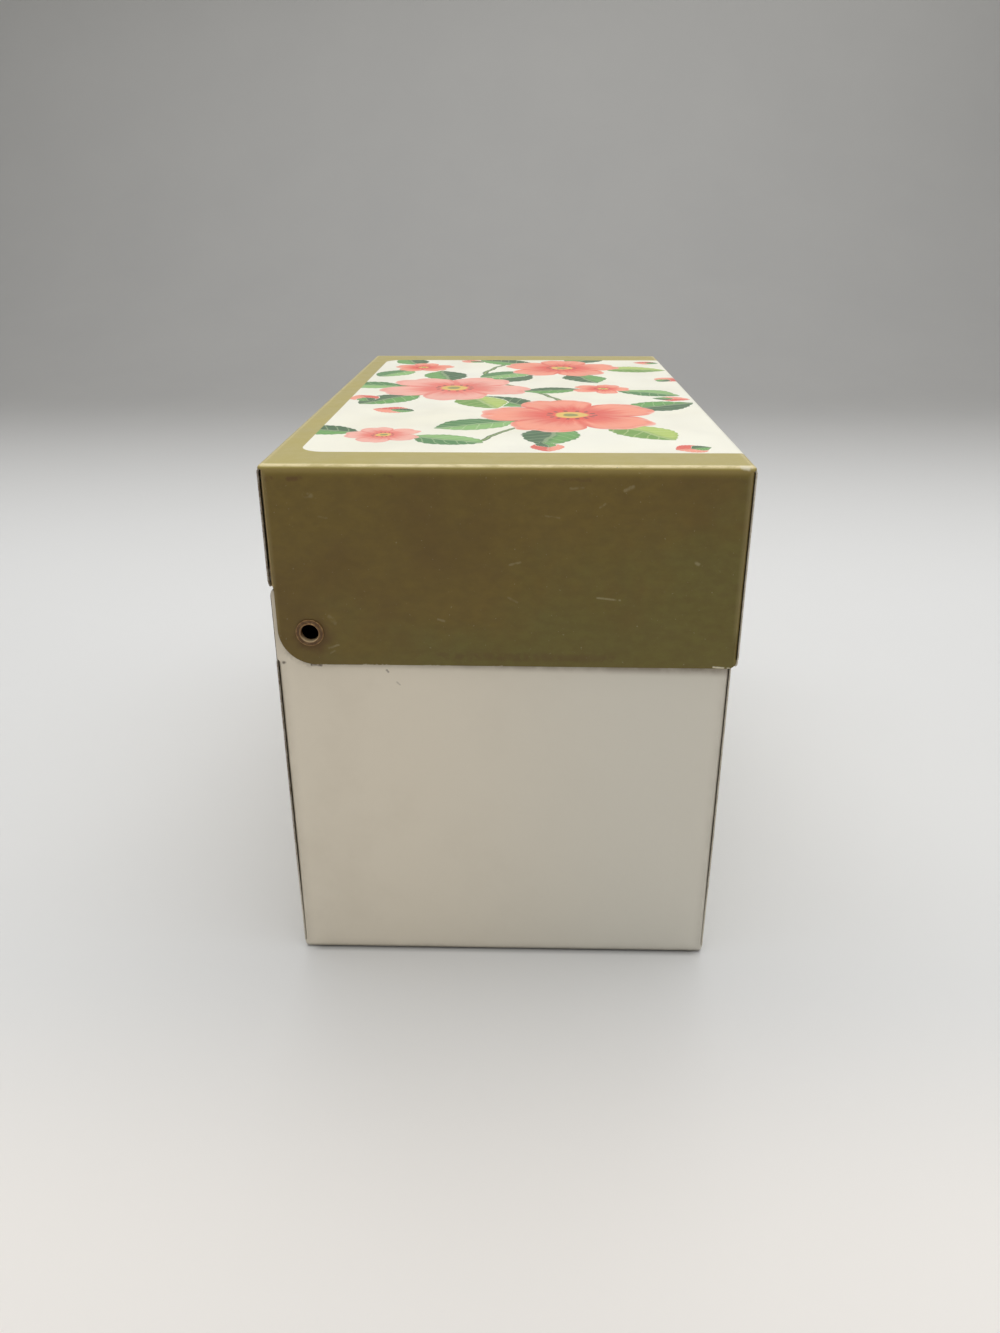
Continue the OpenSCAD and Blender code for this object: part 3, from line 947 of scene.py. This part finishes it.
flesh = r.layered(
    heart,
    (r.step(shade, 0.28, 0.78), tip),
    (r.step(shade, 0.9, 1.05, 0, 0.4), (1, 0.86, 0.76, 1)),
    (between * 0.75, heart),
    (curl * 0.3, heart),
    (stamens, (122, 62, 30)),
    (r.step(out, 0.19, 0.16), (238, 198, 92)),
    (r.step(out, 0.1, 0.07), (150, 148, 70)))
flecks = r.step(r.noise(place, 1.6, 5, 0.7), 0.68, 0.76, 0, 0.35)
ink = r.layered(ink, (r.step(rim - out, 0, 0.014), flesh), (flecks, (214, 196, 150)))

# The olive border, and the worn edges of both
coat = r.place(olive_coat, Place=place)
worn = r.math("MULTIPLY", coat["Bare"], 1.4, clamp=True)
ink = r.layered(coat["Colour"], (in_field, ink), (worn, (170, 160, 138)))
paint(ink, coat["Roughness"], coat["Bare"], coat["Height"] + in_field * 0.06, 0.05 * mm)

lid = sheet_piece("lid_cap", lid_blank(), Vector((0, 0, 1)), [olive, printed, tin, tin, cut_edge, cut_edge])
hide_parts("lid_shell")
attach(lid, "lid")

# Hinge eyelets: hollow brass eyelets through the lid's ears and the base, their heads rolled outside and
# their barrels clinched inside, so that the lid turns on them. Tarnished brown, with painted light on the
# bore's lower half.
eyelet_steps = 72
eyelet_angle = math.radians(50)
# The eyelet's section, in mm, and how many lobes its clinched end has
bore_r = 1.5
barrel_r = 1.7
lip_r = 0.1
inner_lip_r = 0.12
clinch_from = -0.6
clinch_lobes = 6
clinch_cut = 0.05


def arc_points(centre_r, centre_out, radius, start, stop, steps):
    """Part of a circle in the eyelet's section, as (radius from the axis, distance outward), in mm."""
    turns = [math.radians(angle) for angle in spaced(start, stop, steps)]
    return [(centre_r + radius * math.cos(turn), centre_out + radius * math.sin(turn)) for turn in turns]


# From the bore over the rolled head, back along the barrel and round the clinched end
eyelet_section = arc_points(bore_r + lip_r, 0.27, lip_r, 180, 20, 7)
eyelet_section += [(1.74, 0.235), (1.8, 0.195), (1.9, 0.17), (2.02, 0.168), (2.12, 0.19)]
eyelet_section += arc_points(2.24, 0.13, lip_r, 115, -90, 9)
eyelet_section += [(1.95, 0.03), (barrel_r, 0.03), (barrel_r, -0.3), (barrel_r, -0.68)]
eyelet_section += arc_points(2.1, -0.78, lip_r, 90, -90, 7)
eyelet_section += arc_points(bore_r + inner_lip_r, -0.76, inner_lip_r, -90, -180, 5)
eyelet_section += [(bore_r, -0.4)]


def turned_eyelet(name, end, material):
    mesh = bmesh.new()
    rows = []
    for radius, out in eyelet_section + eyelet_section[:1]:
        row = []
        for step in range(eyelet_steps + 1):
            turn = 2 * math.pi * (step % eyelet_steps) / eyelet_steps
            reach = radius * mm
            if out < clinch_from and radius > barrel_r + lip_r:
                reach -= clinch_cut * mm * (1 - math.cos(clinch_lobes * turn))
            x = end * (lid_half_l + out * mm)
            row.append((x, pivot.y + reach * math.cos(turn), pivot.z + reach * math.sin(turn)))
        rows.append(row)
    lay_patch(mesh, rows)
    weld(mesh)
    data = mesh_data(name, mesh, [material])
    data.shade_smooth()
    data.set_sharp_from_angle(angle=eyelet_angle)
    return add_object(name, data)


brass, r, paint, place = start_material("tarnished brass", 0.4, metallic=0.85)
_, aside, above = r.split(place - (0, pivot.y / mm, pivot.z / mm))
from_axis = r.math("SQRT", aside * aside + above * above)
tarnish = r.noise(place, 1.4, 4, 0.65)
groove = r.step(from_axis, 1.66, 1.8) * r.step(from_axis, 2.3, 2.1)
rubbed = r.over(r.step(tarnish, 0.35, 0.7), (166, 132, 84), (124, 90, 54))
dirt = groove * r.step(tarnish, 0.2, 0.6, 0.55, 0.9)
dull = r.over(dirt, rubbed, (84, 58, 32))
# Dull grey-beige inside the bore and over its lip, painted lighter on its lower half as painted light
inside = r.step(from_axis, 1.66, 1.56)
bore_lit_below = r.over(r.step(above, -0.2, -1.25), (122, 92, 62), (196, 172, 132))
bright = (0.6 - dirt * 0.5) * (1 - inside)
roughness = r.step(tarnish, 0.3, 0.7, 0.28, 0.42) + dirt * 0.25
paint(r.over(inside, dull, bore_lit_below), roughness, bright, tarnish, 0.02 * mm)
eyelets = [("left_hinge_eyelet", "eyelet_left", -1), ("right_hinge_eyelet", "eyelet_right", 1)]
for node, piece_name, end in eyelets:
    eyelet = turned_eyelet(piece_name, end, brass)
    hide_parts(node)
    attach(eyelet, "base")

# Table and sweep behind: a plain pale sheet that curves up behind the tin, with painted shade darkening it
# far off and painted light on the table before the tin
table_reach = 1.2
sweep_x = 0.55
sweep_r = 0.5
sweep_h = 1.6
sweep_half = 1.8
table, r, paint, place = start_material("pale table", 0.65, specular=0.25)
along, across, height = r.split(place)
far = along + height * 1.2
# A painted shadow darkens the table right at the ends of the tin's foot, where hardly any light comes
foot_shadow = r.step(abs(along) - base_half_l / mm, 1.3, -0.3, 0, 0.5) * r.step(abs(across), 37.8, 35)
paint(r.layered(
    (227, 227, 226),
    # painted shade far off and up the sweep, and painted light on the table before the tin
    (r.step(far, 100, 600), (156, 155, 153)),
    (r.step(far, 700, 1900), (166, 165, 162)),
    (r.step(far, -70, -135), (243, 239, 234)),
    (foot_shadow, (96, 92, 86)),
    (r.noise(place, 0.012, 4, 0.6) * 0.1, (205, 203, 196))))
profile = [(-table_reach, 0), (-0.3, 0), (0, 0)]
profile += [(sweep_x + sweep_r * math.sin(turn), sweep_r * (1 - math.cos(turn)))
            for turn in spaced(0, math.pi / 2, 16)]
profile += [(sweep_x + sweep_r, sweep_h)]
mesh = bmesh.new()
lay_patch(mesh, [[(x, y, z) for y in spaced(-sweep_half, sweep_half, 8)] for x, z in profile])
weld(mesh)
table_data = mesh_data("table", mesh, [table])
table_data.shade_smooth()
table_piece = add_object("table", table_data)


# Light: a broad softbox overhead, a low one behind for the sheen on the top, and a weak one in front
def softbox(name, place, aim, width, height, power):
    lamp = bpy.data.lights.new(name, "AREA")
    lamp.shape = "RECTANGLE"
    lamp.size = width
    lamp.size_y = height
    lamp.energy = power
    lamp_object = add_object(name, lamp)
    lamp_object.location = place
    lamp_object.rotation_euler = (Vector(aim) - Vector(place)).to_track_quat("-Z", "Y").to_euler()


softbox("overhead", (0.12, -0.08, 1), (0.05, 0, 0.05), 1.4, 1.4, 9.7)
softbox("behind", (0.9, 0.05, 0.62), (0, 0, 0.08), 1.1, 0.4, 1.4)
softbox("front", (-0.95, 0.1, 0.75), (0, 0, 0.05), 0.7, 0.7, 0.12)
world = bpy.data.worlds.new("room")
world.use_nodes = True
background = world.node_tree.nodes["Background"].inputs
room_light = 0.37
background["Color"].default_value = (1, 1, 1, 1)
background["Strength"].default_value = room_light
bpy.context.scene.world = world
bpy.context.scene.view_settings.view_transform = "Standard"

# Camera: close before the near end, looking down on it
focal_px = 998.5
frame_px = 1333
sensor = 36
camera_at = (-0.22134, -0.00288, 0.12866)
pitch, yaw, roll = (math.radians(angle) for angle in (24.114, 1.419, -0.081))
camera = bpy.data.cameras.new("camera")
camera.sensor_fit = "VERTICAL"
camera.sensor_height = sensor
camera.lens = focal_px / frame_px * sensor
camera.clip_start = 0.01
camera_object = add_object("camera", camera)
looking = Vector((math.cos(pitch) * math.cos(yaw), math.cos(pitch) * math.sin(yaw), -math.sin(pitch)))
turn = looking.to_track_quat("-Z", "Y").to_matrix().to_4x4() @ Matrix.Rotation(roll, 4, "Z")
camera_object.matrix_world = Matrix.Translation(camera_at) @ turn
bpy.context.scene.camera = camera_object
